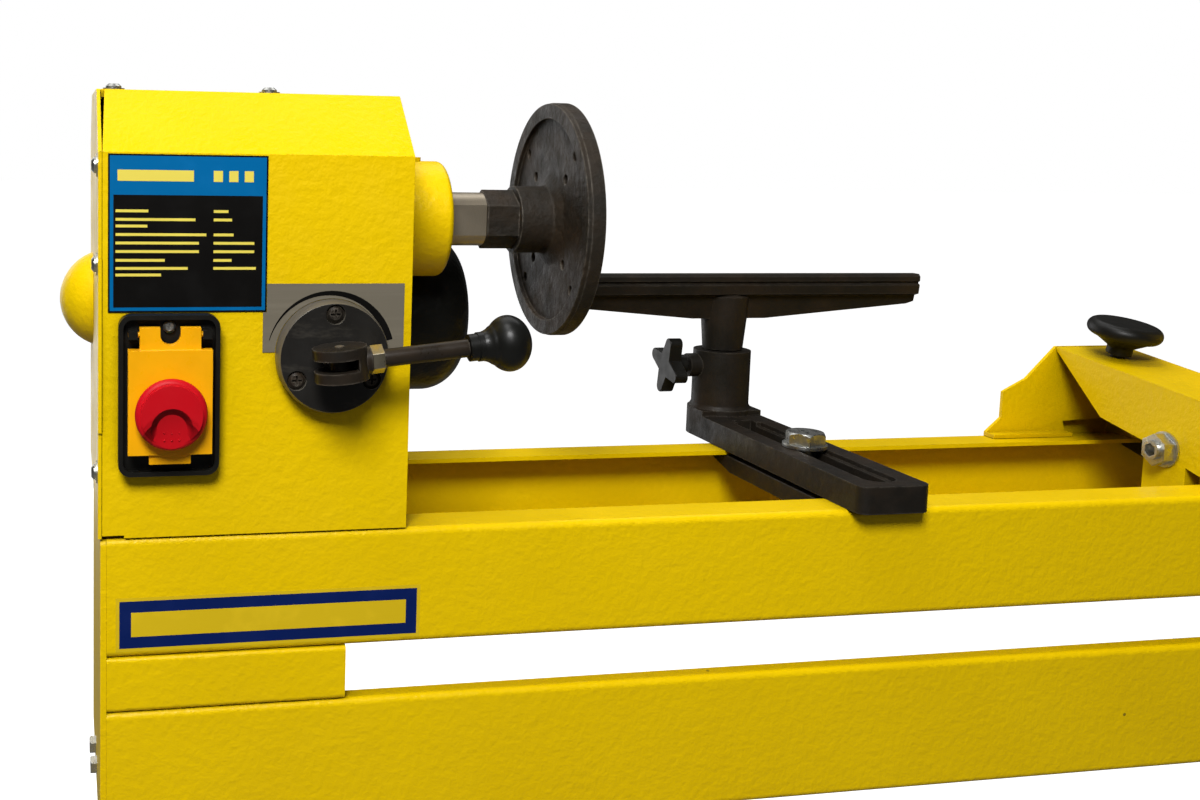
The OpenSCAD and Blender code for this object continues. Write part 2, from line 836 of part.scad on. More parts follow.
module switch_base() {
    wall = 2.6;
    color(black) on_bed() difference() {
        union() {
            drawn_y(front_y - base_t, front_y) translate([switch_x, switch_z])
                round_rect(switch_w, switch_tall, 7);
            block([14, front_y - 2, 56], [55, front_y + 38, 110]);
            for (s = [-1, 1]) {
                block([switch_x + s * lug_x - lug_half, hinge_y - lug_half, hinge_z - lug_half],
                      [switch_x + s * lug_x + lug_half, front_y - 3, hinge_z + lug_half]);
            }
        }
        drawn_y(front_y - base_t - 1, base_floor) difference() {
            translate([switch_x, switch_z]) round_rect(switch_w - 2 * wall, switch_tall - 2 * wall, 5);
            for (s = [-1, 1]) {
                translate([switch_x + s * lug_x - lug_half, hinge_z - lug_half])
                    square([2 * lug_half, 2 * lug_half]);
            }
        }
        bar_x(hinge_pin + 2 * fit, switch_x - 30, switch_x + 30, hinge_y, hinge_z);
        bar_y(start_d + 0.8, front_y - 20, front_y + 12, switch_x, start_z);
    }
}

module start_button() {
    color("green") on_bed() bar_y(start_d, front_y - 7, front_y + 4, switch_x, start_z);
}

// Lid over the start button, with two ears on the hinge and a finger tab at the bottom
module switch_flap() {
    half = 22.7;
    lid_z0 = 50.7;
    lid_z1 = 108;
    ear_half = 16.5;
    ear_top = hinge_z + 4;
    notch_r = 5.5;
    pin_end = 22.5;
    pin_len = 14;
    tab_half = 11.3;
    face_y = front_y - 17;
    back_y = front_y - 9.6;
    color([1, 0.65, 0]) on_bed() difference() {
        union() {
            block([switch_x - half, face_y, lid_z0], [switch_x + half, back_y, lid_z1]);
            drawn_y(hinge_y - 3, hinge_y + 2.4) difference() {
                translate([switch_x - ear_half, lid_z1 - 2]) square([2 * ear_half, ear_top - lid_z1 + 2]);
                translate([switch_x, hinge_z]) circle(notch_r);
                translate([switch_x - notch_r, hinge_z]) square([2 * notch_r, 20]);
            }
            for (x = [switch_x - pin_end, switch_x + pin_end - pin_len]) {
                bar_x(hinge_pin, x, x + pin_len, hinge_y, hinge_z);
            }
            block([switch_x - tab_half, face_y + 2, 45.2], [switch_x + tab_half, back_y, lid_z0 + 1]);
        }
        block([switch_x - half + 2, face_y + 2.5, lid_z0 + 2],
              [switch_x + half - 2, back_y + 1, lid_z1 - 6]);
        bar_y(start_d + 2 * fit, face_y - 1, face_y + 4, switch_x, cap_z);
    }
}

module stop_button() {
    color("red") on_bed() difference() {
        union() {
            bar_y(start_d, cap_y + 6, front_y - 11, switch_x, cap_z);
            translate([switch_x, cap_y, cap_z]) rotate([-90, 0, 0]) rotate_extrude() difference() {
                union() {
                    square([16.5, 8.5]);
                    translate([16.5, 5.5]) circle(3);
                    translate([0, 0]) square([16.5, 3]);
                }
                translate([-10, -10]) square([10, 40]);
                translate([16.5, 8.5]) square([10, 10]);
            }
            ring_y(24, 16, front_y - 14.2, front_y - 12.6, switch_x, cap_z);
        }
        translate([switch_x, cap_y + 2.4 - 60, cap_z - 16]) sphere(r = 60.5, $fn = 96);
    }
}

module ring_y(outer, inner, y0, y1, x, z) {
    difference() {
        bar_y(outer, y0, y1, x, z);
        bar_y(inner, y0 - 1, y1 + 1, x, z);
    }
}

// ---------- tool rest ----------

banjo_t = 17.2;
banjo_w = 48.5;
banjo_front = -106;
collar_y = 124;
collar_d = 43;
collar_top = 66;
slot_w = 15;
bolt_d = 12;
screw_z = 54;                           // axis of the knob that locks the post

module banjo() {
    slot_y0 = -84;
    slot_y1 = 88;
    z0 = gap;
    raised_z = z0 + banjo_t + 4;
    color(iron) on_bed() difference() {
        union() {
            translate([carriage_x, (banjo_front + collar_y) / 2, z0]) linear_extrude(banjo_t)
                round_rect(banjo_w, collar_y - banjo_front, 7);
            bar_z(banjo_w, z0, raised_z, carriage_x, collar_y);
            block([carriage_x - banjo_w / 2, collar_y - 20, z0],
                  [carriage_x + banjo_w / 2, collar_y, raised_z]);
            bar_z(collar_d, z0, collar_top, carriage_x, collar_y);
            translate([carriage_x, collar_y, raised_z - 0.5])
                cylinder(d1 = banjo_w - 1, d2 = collar_d - 0.2, h = 4);
            bar_x(18, carriage_x - 29, carriage_x, collar_y, screw_z);
        }
        block([carriage_x - slot_w / 2, slot_y0, -5], [carriage_x + slot_w / 2, slot_y1, 60]);
        bar_z(slot_w, -5, 60, carriage_x, slot_y0);
        // Recess round the front half of the slot
        block([carriage_x - 11, slot_y0 - 2, z0 + banjo_t - 3], [carriage_x + 11, slot_y1 - 8, 30]);
        bar_z(22, z0 + banjo_t - 3, 30, carriage_x, slot_y0);
        bar_z(post_d + 2 * fit, -5, collar_top + 5, carriage_x, collar_y);
        bar_x(8 + 2 * fit, carriage_x - 40, carriage_x, collar_y, screw_z);
    }
}

clamp_z = -rail_t - gap;
clamp_t = 12;

// Section of a plate that grips under both rails, in [y, z]
module clamp_outline() {
    edge_t = 6;
    polygon([
        [-86, clamp_z], [86, clamp_z], [86, clamp_z - edge_t], [60, clamp_z - clamp_t],
        [-60, clamp_z - clamp_t], [-86, clamp_z - edge_t]]);
}

module clamp_plate() {
    color(iron) on_bed() difference() {
        drawn_x(carriage_x - 23, carriage_x + 23) clamp_outline();
        bar_z(bolt_d + 0.04, -40, 10, carriage_x, 0);
    }
}

washer_z = gap + banjo_t + gap;

module clamp_washer() {
    color(steel) on_bed() difference() {
        bar_z(30, washer_z, washer_z + 2.5, carriage_x, 0);
        bar_z(bolt_d + 2 * fit, 0, 40, carriage_x, 0);
    }
}

module clamp_bolt() {
    head_z = washer_z + 2.5 + 0.1;
    color(steel) on_bed() {
        translate([carriage_x, 0, head_z]) rotate([0, 0, 12]) hex_head(24, 8);
        bar_z(bolt_d, clamp_z - 30, head_z + 0.2, carriage_x, 0);
        translate([carriage_x, 0, clamp_z - 12 - 10.5]) linear_extrude(10.5) hex(19);
    }
}

rest_top = 126;
post_top = 84;

module tool_rest_post() {
    color(iron) on_bed() {
        bar_z(post_d, 2, post_top, carriage_x, collar_y);
    }
}

// Leaning blade with a ledge along its front, deeper in the middle, on a socket over the post
module tool_rest() {
    half = rest_len / 2;
    socket_z0 = collar_top + 1;
    socket_h = 41;
    color(iron) on_bed() difference() {
        union() {
            intersection() {
                drawn_x(carriage_x - half, carriage_x + half) polygon([
                    [106, rest_top - 2], [108, rest_top], [116, rest_top], [134, 92], [134, 84], [118, 84],
                    [112, 109], [107, 110.5], [106, 117.5], [108, 118.5], [108, 119.5], [106, 120.5]]);
                drawn_y(90, 150) polygon([
                    [carriage_x - half, rest_top + 1],
                    [carriage_x - half, 104], [carriage_x - half + 6, 102],
                    [carriage_x - 30, 91], [carriage_x + 30, 91], [carriage_x + half - 6, 102],
                    [carriage_x + half, 104], [carriage_x + half, rest_top + 1]]);
            }
            translate([carriage_x, collar_y, socket_z0]) cylinder(d1 = post_d + 3, d2 = 37, h = socket_h);
            translate([carriage_x, collar_y, socket_z0 + socket_h]) cylinder(d1 = 37, d2 = 16, h = 8);
        }
        bar_z(post_d + 2 * fit, 20, post_top + gap, carriage_x, collar_y);
    }
}

// Four lobes on a hub, facing -X, with its clamping screw
module tool_rest_knob() {
    x_end = carriage_x - 35;
    lobe_y = 18;
    lobe_r = 4.8;
    color(black) on_bed() {
        bar_x(8, x_end - 2, carriage_x - post_d / 2 - 0.6, collar_y, screw_z);
        bar_x(16, x_end - 12, x_end + 4, collar_y, screw_z);
        for (a = [20:90:290]) {
            translate([x_end - 8, collar_y, screw_z]) rotate([a, 0, 0]) {
                bar_x(2 * lobe_r, -5, 5, lobe_y, 0);
                drawn_x(-5, 5) polygon([[0, -8.4], [lobe_y, -lobe_r], [lobe_y, lobe_r], [0, 8.4]]);
            }
        }
    }
}

// ---------- tailstock ----------

bar_x0 = saddle_x + 57;                 // left face of the bar across the bed
bar_x1 = bar_x0 + 61;
deck_x1 = saddle_x + 255;               // right end of the casting
deck_z = 38;
foot_y = 66;                            // inner edge of both feet
nose_y0 = 87;                           // front and back of the nose's sheet
nose_y1 = 90;
skirt_y = half_w + gap;                 // inner face of the skirt behind the rear rail
skirt_t = 3;
knob_x = bar_x0 + 29;
knob_y = 57;
knob_lean = [10, 4, 0];                 // lean of the knob towards the front and the right
lug_t = 12;                             // the lug is flush with the bar's left face
stop_lug_half = 18.5;
lug_y = -25.5;                          // middle of the lug and of the stop bolt
bolt_z = 14.7;
stop_bolt_d = 14;

// Height of the bar's top, which falls towards the front
function bar_top(y) = 60.4 + y * 0.1136;

module tail_saddle() {
    z0 = gap;
    color(yellow) on_bed() difference() {
        union() {
            // Nose: stepped sheet with a short foot on the rear rail
            drawn_y(nose_y0, nose_y1) polygon([
                [saddle_x, z0], [saddle_x, 3.7], [saddle_x + 12.4, 14.7], [saddle_x + 12.5, 35.4],
                [saddle_x + 32.2, 45.4], [bar_x0, bar_top(nose_y1)], [bar_x0 + 50, bar_top(nose_y1)],
                [bar_x0 + 50, 12.6], [saddle_x + 67.7, 11], [saddle_x + 70.7, z0]]);
            block([saddle_x, 78, z0], [saddle_x + 70, nose_y1, 3.3]);
            // Bar across the bed, with its top falling to the front and its underside to the back
            drawn_x(bar_x0, bar_x1) polygon([
                [nose_y1, bar_top(nose_y1)], [36.8, 24.9], [-4.4, 16.6], [-50, 4], [-foot_y, z0],
                [-100, z0], [-100, bar_top(-100) - 14], [-86, bar_top(-86)]]);
            // Feet on both rails, and the deck under the column
            block([bar_x0, -100, z0], [deck_x1, -foot_y, 26]);
            block([bar_x1 - 4, foot_y, z0], [deck_x1, 96, 26]);
            // Skirt behind the rear rail, and the ledge that carries it
            block([bar_x0 + 8, skirt_y, -3], [bar_x1 + 8, skirt_y + skirt_t, 26]);
            block([bar_x0 + 8, nose_y0, 16], [bar_x1 + 8, skirt_y + skirt_t, 26]);
            block([bar_x1 - 4, -96, 16], [deck_x1, 96, deck_z]);
            // Lug that hangs between the rails
            drawn_x(bar_x0, bar_x0 + lug_t) union() {
                translate([lug_y - stop_lug_half, -34]) square([2 * stop_lug_half, 60]);
                translate([lug_y, -34]) circle(stop_lug_half);
            }
        }
        bar_x(stop_bolt_d + 0.04, bar_x0 - 1, bar_x0 + lug_t + 6, lug_y, bolt_z);
        translate([knob_x, knob_y, bar_top(knob_y)]) rotate(knob_lean) bar_z(10 + 2 * fit, -24, 40);
        bar_z(14, 0, 60, clamp_x, 0);
    }
}

column_x0 = saddle_x + 168;
column_x1 = saddle_x + 242;
barrel_x0 = column_x0 + 4;
barrel_x1 = column_x1 + 60;
clamp_x = column_x0 - 24;

// Column and barrel that guide the quill
module tail_barrel() {
    color(yellow) on_bed() difference() {
        union() {
            bar_x(58, barrel_x0, barrel_x1, 0, centre_h);
            drawn_y(-15, 15) polygon([
                [column_x0, deck_z], [column_x1, deck_z], [column_x1, 160], [column_x0 + 14, 160]]);
            intersection() {
                drawn_x(column_x0, column_x1) polygon([[-70, deck_z], [70, deck_z], [27, 165], [-27, 165]]);
                drawn_y(-90, 90) polygon([
                    [column_x0, deck_z], [column_x1, deck_z], [column_x1, 165], [column_x0 + 14, 165]]);
            }
            bar_z(24, centre_h + 20, centre_h + 36, column_x0 + 22, 0);
        }
        bar_x(quill_d + 2 * fit, barrel_x0 - 1, barrel_x1 - 12, 0, centre_h);
        bar_x(14 + 2 * fit, barrel_x1 - 13, barrel_x1 + 1, 0, centre_h);
        bar_z(8 + 2 * fit, centre_h, centre_h + 40, column_x0 + 22, 0);
    }
}

quill_x0 = barrel_x0 - 22;
quill_x1 = barrel_x1 - 30;

module quill() {
    color(steel) on_bed() difference() {
        bar_x(quill_d, quill_x0, quill_x1, 0, centre_h);
        // Taper for the centre, bore for the feed screw, and the key slot on top
        translate([quill_x0, 0, centre_h]) rotate([0, 90, 0]) cylinder(d1 = 18.2, d2 = 15.4, h = 50);
        bar_x(14 + 2 * fit, quill_x0 + 50, quill_x1 + 1, 0, centre_h);
        block([quill_x0 + 16, -2.2, centre_h + quill_d / 2 - 2.5],
              [quill_x1 - 10, 2.2, centre_h + quill_d / 2 + 1]);
    }
}

module live_centre() {
    body_x0 = quill_x0 - 30;
    color(steel) on_bed() {
        translate([quill_x0 - gap, 0, centre_h]) rotate([0, 90, 0]) cylinder(d1 = 18, d2 = 15.3, h = 46);
        bar_x(32, body_x0 + 4, quill_x0 - gap, 0, centre_h);
        translate([body_x0 - 18, 0, centre_h]) rotate([0, 90, 0]) cylinder(d1 = 0.6, d2 = 20, h = 17.4);
        bar_x(20, body_x0 - 0.7, body_x0 + 4, 0, centre_h);
    }
}

wheel_x = barrel_x1 + 12;

module feed_screw() {
    color(steel) on_bed() {
        bar_x(14, quill_x0 + 60, wheel_x + 18, 0, centre_h);
        bar_x(22, barrel_x1 + gap, wheel_x - gap, 0, centre_h);
    }
}

module handwheel() {
    rim_r = 8;
    color(iron) on_bed() {
        turned_x(wheel_x + 8, 0, centre_h) translate([handwheel_d / 2 - rim_r, 0]) circle(rim_r);
        ring_x(34, 14.02, wheel_x, wheel_x + 18, 0, centre_h);
        for (a = [30:120:270]) {
            translate([wheel_x + 8, 0, centre_h]) rotate([a, 0, 0]) drawn_x(-4, 4) polygon([
                [15, -8], [handwheel_d / 2 - 12, -6], [handwheel_d / 2 - 12, 6], [15, 8]]);
        }
        bar_x(16, wheel_x + 10, wheel_x + 52, 0, centre_h + handwheel_d / 2 - rim_r);
    }
}

module quill_lock() {
    z0 = centre_h + 36;
    color(iron) on_bed() translate([column_x0 + 22, 0, 0]) {
        bar_z(8, centre_h + quill_d / 2 + 0.5, z0 + 4);
        bar_z(18, z0 + 1, z0 + 13);
        translate([0, 0, z0 + 8]) rotate([-70, 0, 0]) cylinder(d = 8, h = 62);
        translate([0, 0, z0 + 8]) rotate([-70, 0, 0]) translate([0, 0, 66]) sphere(d = 20);
    }
}

// Mushroom knob on the bar, with its screw
module saddle_knob() {
    rim_r = 6;
    rim_x = 20;
    rim_z = 21.5;
    color(black) on_bed() translate([knob_x, knob_y, bar_top(knob_y)]) rotate(knob_lean) {
        bar_z(10, -20, 6);
        rotate_extrude() {
            polygon([[0, 2.5], [9, 2.5], [9, 8.5], [rim_x, rim_z - rim_r], [rim_x, rim_z + rim_r],
                     [0, rim_z + rim_r + 1]]);
            intersection() {
                translate([rim_x, rim_z]) circle(rim_r);
                translate([rim_x - 1, 0]) square([20, 60]);
            }
        }
    }
}

// Hollow-ended stop bolt through the lug, with its nut and washer
module stop_bolt() {
    end_x = bar_x0 - 12.8;
    washer_t = 1.6;
    nut_t = 8.6;
    color(steel) on_bed() difference() {
        union() {
            bar_x(stop_bolt_d, end_x, bar_x0 + lug_t + 4, lug_y, bolt_z);
            bar_x(25.4, bar_x0 - washer_t, bar_x0, lug_y, bolt_z);
            translate([bar_x0 - washer_t - nut_t, lug_y, bolt_z]) rotate([0, 90, 0])
                linear_extrude(nut_t + 0.1) hex(20);
        }
        translate([end_x - 1, lug_y, bolt_z]) rotate([0, 90, 0]) linear_extrude(9) hex(8.5);
    }
}

// Plate under the rails with the bolt that draws it up to the deck
module tail_clamp_plate() {
    color(iron) on_bed() {
        drawn_x(clamp_x - 22, clamp_x + 22) clamp_outline();
        bar_z(12, clamp_z - 1, 44, clamp_x, 0);
        translate([clamp_x, 0, deck_z + 0.4]) linear_extrude(9) hex(19);
    }
}

front_rail();
rear_rail();
front_lower_rail();
rail_spacers();
end_plates();
front_leg_left();
rear_leg_left();
front_leg_right();
rear_leg_right();
leg_braces();
frame_bolts();
headstock_case();
side_cover();
case_screws();
bearing_housing();
spindle_bearings();
motor_case();
drive_belt();
lever_flange();
flange_screws();
speed_scale();
rating_label();
switch_base();
fork_guide_rod();
cable_gland();
spindle();
spindle_fixed_sheave();
spindle_sliding_sheave();
faceplate();
motor_shaft();
motor_fixed_sheave();
motor_sliding_sheave();
sheave_spring();
lever_shaft();
lever_pin();
handle_fork();
handle_rod();
handle_nut();
handle_knob();
shift_fork();
switch_flap();
stop_button();
start_button();
banjo();
clamp_plate();
clamp_bolt();
clamp_washer();
tool_rest_post();
tool_rest();
tool_rest_knob();
tail_saddle();
tail_barrel();
quill();
live_centre();
feed_screw();
handwheel();
quill_lock();
saddle_knob();
stop_bolt();
tail_clamp_plate();
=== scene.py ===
import json
import math

import bmesh
import bpy
from mathutils import Matrix, Vector


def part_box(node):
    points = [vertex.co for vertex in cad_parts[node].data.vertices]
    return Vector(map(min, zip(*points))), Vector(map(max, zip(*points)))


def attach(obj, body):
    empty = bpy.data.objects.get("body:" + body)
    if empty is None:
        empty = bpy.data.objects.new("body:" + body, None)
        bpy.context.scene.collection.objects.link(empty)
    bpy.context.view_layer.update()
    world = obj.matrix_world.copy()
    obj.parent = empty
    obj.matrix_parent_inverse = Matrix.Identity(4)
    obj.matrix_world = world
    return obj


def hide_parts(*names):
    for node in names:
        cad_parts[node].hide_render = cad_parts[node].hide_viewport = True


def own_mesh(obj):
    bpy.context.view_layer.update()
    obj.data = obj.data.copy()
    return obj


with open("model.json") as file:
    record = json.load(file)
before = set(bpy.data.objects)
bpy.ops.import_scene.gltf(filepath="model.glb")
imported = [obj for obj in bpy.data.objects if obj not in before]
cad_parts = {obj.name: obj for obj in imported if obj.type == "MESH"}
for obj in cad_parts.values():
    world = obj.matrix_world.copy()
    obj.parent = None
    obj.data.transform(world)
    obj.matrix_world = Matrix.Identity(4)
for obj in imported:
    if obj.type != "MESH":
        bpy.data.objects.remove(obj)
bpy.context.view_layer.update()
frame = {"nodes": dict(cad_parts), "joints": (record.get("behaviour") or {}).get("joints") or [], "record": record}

scene = bpy.context.scene
nodes = frame["nodes"]
record = frame["record"]
body_of = {node: body for body, members in record["behaviour"]["bodies"].items() for node in members}
slot_of = {part["node"]: part["material_slot"] for part in record["subparts"]}
joint_at = {joint["name"]: Vector(joint["pos_m"]) for joint in frame["joints"] if joint.get("pos_m")}
MM = 0.001


# ---------- materials ----------

class Surface:
    """One procedural material: a Principled shader, with textures placed by the piece's coordinates."""

    def __init__(self, name, base, roughness, metallic=0.0, coat=0.0, coat_roughness=0.1, specular=0.5):
        self.material = bpy.data.materials.new(name)
        self.material.use_nodes = True
        self.tree = self.material.node_tree
        self.shader = self.tree.nodes["Principled BSDF"]
        sockets = self.shader.inputs
        sockets["Base Color"].default_value = (*base, 1)
        sockets["Roughness"].default_value = roughness
        sockets["Metallic"].default_value = metallic
        sockets["Coat Weight"].default_value = coat
        sockets["Coat Roughness"].default_value = coat_roughness
        sockets["Specular IOR Level"].default_value = specular
        self.coords = self.node("ShaderNodeTexCoord").outputs["Object"]
        self.normal = None

    def node(self, kind, **settings):
        made = self.tree.nodes.new(kind)
        for key, value in settings.items():
            setattr(made, key, value)
        return made

    def join(self, output, socket):
        self.tree.links.new(output, socket)

    def stretched(self, stretch):
        mapping = self.node("ShaderNodeMapping")
        mapping.inputs["Scale"].default_value = stretch
        self.join(self.coords, mapping.inputs["Vector"])
        return mapping.outputs["Vector"]

    def noise(self, scale, detail=4.0, rough=0.55, stretch=None):
        made = self.node("ShaderNodeTexNoise")
        made.inputs["Scale"].default_value = scale
        made.inputs["Detail"].default_value = detail
        made.inputs["Roughness"].default_value = rough
        self.join(self.stretched(stretch) if stretch else self.coords, made.inputs["Vector"])
        return made.outputs[0]

    def pits(self, scale):
        made = self.node("ShaderNodeTexVoronoi", feature="SMOOTH_F1")
        made.inputs["Scale"].default_value = scale
        self.join(self.coords, made.inputs["Vector"])
        return made.outputs["Distance"]

    def turned(self, centre, scale):
        """Fine rings round the axis through centre along X, and along a shaft's length."""
        shift = self.node("ShaderNodeVectorMath", operation="SUBTRACT")
        shift.inputs[1].default_value = centre
        self.join(self.coords, shift.inputs[0])
        parts = self.node("ShaderNodeSeparateXYZ")
        self.join(shift.outputs[0], parts.inputs[0])
        flat = self.node("ShaderNodeCombineXYZ")
        self.join(parts.outputs["Y"], flat.inputs["Y"])
        self.join(parts.outputs["Z"], flat.inputs["Z"])
        radius = self.node("ShaderNodeVectorMath", operation="LENGTH")
        self.join(flat.outputs[0], radius.inputs[0])
        along = self.node("ShaderNodeMath", operation="ADD")
        self.join(radius.outputs["Value"], along.inputs[0])
        self.join(parts.outputs["X"], along.inputs[1])
        made = self.node("ShaderNodeTexNoise", noise_dimensions="1D")
        made.inputs["Scale"].default_value = scale
        made.inputs["Detail"].default_value = 3.0
        self.join(along.outputs[0], made.inputs["W"])
        return made.outputs[0]

    def edges(self, radius):
        """Mask that is 1 near convex and concave edges and 0 on flat faces."""
        bevel = self.node("ShaderNodeBevel", samples=4)
        bevel.inputs["Radius"].default_value = radius
        geometry = self.node("ShaderNodeNewGeometry")
        dot = self.node("ShaderNodeVectorMath", operation="DOT_PRODUCT")
        self.join(bevel.outputs[0], dot.inputs[0])
        self.join(geometry.outputs["Normal"], dot.inputs[1])
        return self.range(dot.outputs["Value"], 0.99, 0.80, 0.0, 1.0)

    def occlusion(self, reach):
        """Share of the surroundings within reach that is open: low in inner corners, 1 on open faces."""
        made = self.node("ShaderNodeAmbientOcclusion", samples=4)
        made.inputs["Distance"].default_value = reach
        return made.outputs["AO"]

    def range(self, value, low, high, to_low, to_high):
        made = self.node("ShaderNodeMapRange")
        made.inputs["From Min"].default_value = low
        made.inputs["From Max"].default_value = high
        made.inputs["To Min"].default_value = to_low
        made.inputs["To Max"].default_value = to_high
        self.join(value, made.inputs["Value"])
        return made.outputs["Result"]

    def facing(self, axis):
        """Component of the surface's normal along one of the part's axes."""
        parts = self.node("ShaderNodeSeparateXYZ")
        self.join(self.node("ShaderNodeNewGeometry").outputs["Normal"], parts.inputs[0])
        return parts.outputs[axis]

    def from_spot(self, centre, reach):
        """Distance from a spot, where each axis is measured in its own reach."""
        shift = self.node("ShaderNodeVectorMath", operation="SUBTRACT")
        shift.inputs[1].default_value = centre
        self.join(self.coords, shift.inputs[0])
        scaled = self.node("ShaderNodeVectorMath", operation="DIVIDE")
        scaled.inputs[1].default_value = reach
        self.join(shift.outputs[0], scaled.inputs[0])
        length = self.node("ShaderNodeVectorMath", operation="LENGTH")
        self.join(scaled.outputs[0], length.inputs[0])
        return length.outputs["Value"]

    def product(self, a, b):
        made = self.node("ShaderNodeMath", operation="MULTIPLY")
        self.join(a, made.inputs[0])
        self.join(b, made.inputs[1])
        return made.outputs[0]

    def mix(self, factor, first, second):
        """Blend of two colours, each a colour or the output of an earlier mix."""
        made = self.node("ShaderNodeMix", data_type="RGBA")
        self.join(factor, made.inputs[0])
        for value, socket in ((first, made.inputs[6]), (second, made.inputs[7])):
            if isinstance(value, tuple):
                socket.default_value = (*value, 1)
            else:
                self.join(value, socket)
        return made.outputs[2]

    def colour(self, output):
        self.join(output, self.shader.inputs["Base Color"])

    def roughness(self, output):
        self.join(output, self.shader.inputs["Roughness"])

    def bump(self, height, distance, strength):
        made = self.node("ShaderNodeBump")
        made.inputs["Distance"].default_value = distance
        made.inputs["Strength"].default_value = strength
        self.join(height, made.inputs["Height"])
        if self.normal:
            self.join(self.normal, made.inputs["Normal"])
        self.normal = made.outputs["Normal"]
        self.join(self.normal, self.shader.inputs["Normal"])


def paint(name, base, shade, roughness, coat):
    """Powder coat: orange peel, faint waves, dull patches, painted shade in inner corners and a few dark chips."""
    painted_shade_reach = 0.06
    painted_shade_colour = tuple(value * 0.22 for value in base)
    chip_colour = tuple(value * 0.16 + 0.012 for value in base)
    surface = Surface(name, base, roughness, coat=coat, coat_roughness=0.16, specular=0.16)
    patches = surface.noise(9.0, detail=5.0)
    toned = surface.mix(surface.range(patches, 0.45, 0.75, 0.0, 1.0), base, shade)
    spots = surface.range(surface.pits(34.0), 0.030, 0.045, 1.0, 0.0)
    # Painted shade: where little of the surroundings within reach is open, as in inner corners and channels, the
    # colour darkens towards a fifth of the paint's.
    painted_shade = surface.range(surface.occlusion(painted_shade_reach), 0.35, 0.75, 0.85, 0.0)
    toned = surface.mix(painted_shade, toned, painted_shade_colour)
    chips = surface.product(spots, surface.range(surface.noise(13.0, detail=2.0), 0.60, 0.66, 0.0, 0.8))
    surface.colour(surface.mix(chips, toned, chip_colour))
    gloss = surface.noise(38.0, detail=6.0)
    surface.roughness(surface.range(gloss, 0.3, 0.7, roughness - 0.07, roughness + 0.1))
    surface.bump(surface.noise(250.0, detail=3.0), 0.0013, 0.45)
    surface.bump(surface.noise(700.0, detail=2.0), 0.00015, 0.4)
    surface.bump(surface.noise(40.0, detail=1.0), 0.0012, 0.2)
    return surface.material


def cast(name, base, worn, roughness, grain, specular=0.22):
    """Blackened sand casting: pebbled skin, brown bloom, and convex and concave edges a little brighter, partly
    rubbed wear and partly painted highlight.
    """
    surface = Surface(name, base, roughness, specular=specular)
    bloom = surface.noise(24.0, detail=7.0, rough=0.62)
    brown = tuple(value * factor for value, factor in zip(base, (2.1, 1.7, 1.4)))
    toned = surface.mix(surface.range(bloom, 0.42, 0.72, 0.0, 1.0), base, brown)
    breaks = surface.range(surface.noise(160.0), 0.35, 0.65, 0.1, 0.8)
    # Edges lightened towards the worn colour: partly rubbed wear, partly painted highlight; concave edges get it
    # too.
    surface.colour(surface.mix(surface.product(surface.edges(0.0016), breaks), toned, worn))
    gloss = surface.noise(90.0, detail=5.0)
    surface.roughness(surface.range(gloss, 0.3, 0.7, roughness - 0.12, roughness + 0.12))
    surface.bump(surface.noise(420.0, detail=8.0, rough=0.7), grain, 0.8)
    surface.bump(surface.pits(210.0), grain * 1.6, 0.35)
    return surface.material


def turned_metal(name, base, centre, roughness, marks):
    """Lathe-turned metal with fine rings and a few dull spots."""
    surface = Surface(name, base, roughness, metallic=0.8)
    dark = tuple(value * 0.66 for value in base)
    rings = surface.turned(centre, 2600.0)
    stains = surface.noise(45.0, detail=4.0)
    tone = surface.mix(surface.range(rings, 0.35, 0.65, 0.0, 0.45), base, dark)
    surface.colour(surface.mix(surface.range(stains, 0.5, 0.8, 0.0, 0.45), tone, dark))
    surface.roughness(surface.range(stains, 0.3, 0.7, roughness - 0.05, roughness + 0.08))
    surface.bump(rings, marks, 0.5)
    return surface.material


def sided(name, face, side, roughness):
    """Blackened front face with scuffs, and barer steel where the surface turns away from the front."""
    surface = Surface(name, face, roughness, metallic=0.2)
    streaks = surface.noise(26.0, detail=8.0, rough=0.7, stretch=(1.0, 1.0, 4.0))
    worn = surface.mix(surface.range(streaks, 0.56, 0.8, 0.0, 0.5), face, side)
    surface.colour(surface.mix(surface.range(surface.facing("Y"), -0.97, -0.80, 0.0, 1.0), worn, side))
    surface.roughness(surface.range(surface.noise(60.0), 0.3, 0.7, roughness - 0.08, roughness + 0.12))
    surface.bump(surface.noise(900.0, detail=4.0), 0.00004, 0.6)
    return surface.material


def mushroom(name, base, roughness, centre):
    """Red button with a thumb recess whose upper edge is an arch and whose lower edge fades out."""
    surface = Surface(name, base, roughness, specular=0.2)
    shade = tuple(value * 0.86 for value in base)
    surface.colour(surface.mix(surface.range(surface.noise(30.0), 0.4, 0.7, 0.0, 1.0), base, shade))
    surface.roughness(surface.range(surface.noise(110.0), 0.3, 0.7, roughness - 0.06, roughness + 0.08))
    arch_reach = (0.0112, 0.02, 0.0112)
    lower_centre = (centre[0], centre[1], centre[2] - 0.008)
    lower_reach = (0.012, 0.03, 0.010)
    arch = surface.range(surface.from_spot(centre, arch_reach), 0.72, 1.0, 0.0, 1.0)
    below = surface.range(surface.from_spot(lower_centre, lower_reach), 0.85, 1.35, 0.0, 1.0)
    surface.bump(surface.product(arch, below), 0.0045, 1.0)
    surface.bump(surface.noise(1500.0, detail=2.0), 0.00004, 0.6)
    return surface.material


def plated(name, base, roughness):
    """Zinc-plated steel: faint crystalline mottling and tiny scratches."""
    surface = Surface(name, base, roughness, metallic=1.0)
    dull = tuple(value * 0.7 for value in base)
    mottle = surface.noise(240.0, detail=5.0)
    surface.colour(surface.mix(surface.range(mottle, 0.4, 0.7, 0.0, 1.0), base, dull))
    surface.roughness(surface.range(mottle, 0.3, 0.7, roughness - 0.08, roughness + 0.12))
    surface.bump(surface.noise(900.0, detail=3.0), 0.00005, 0.6)
    return surface.material


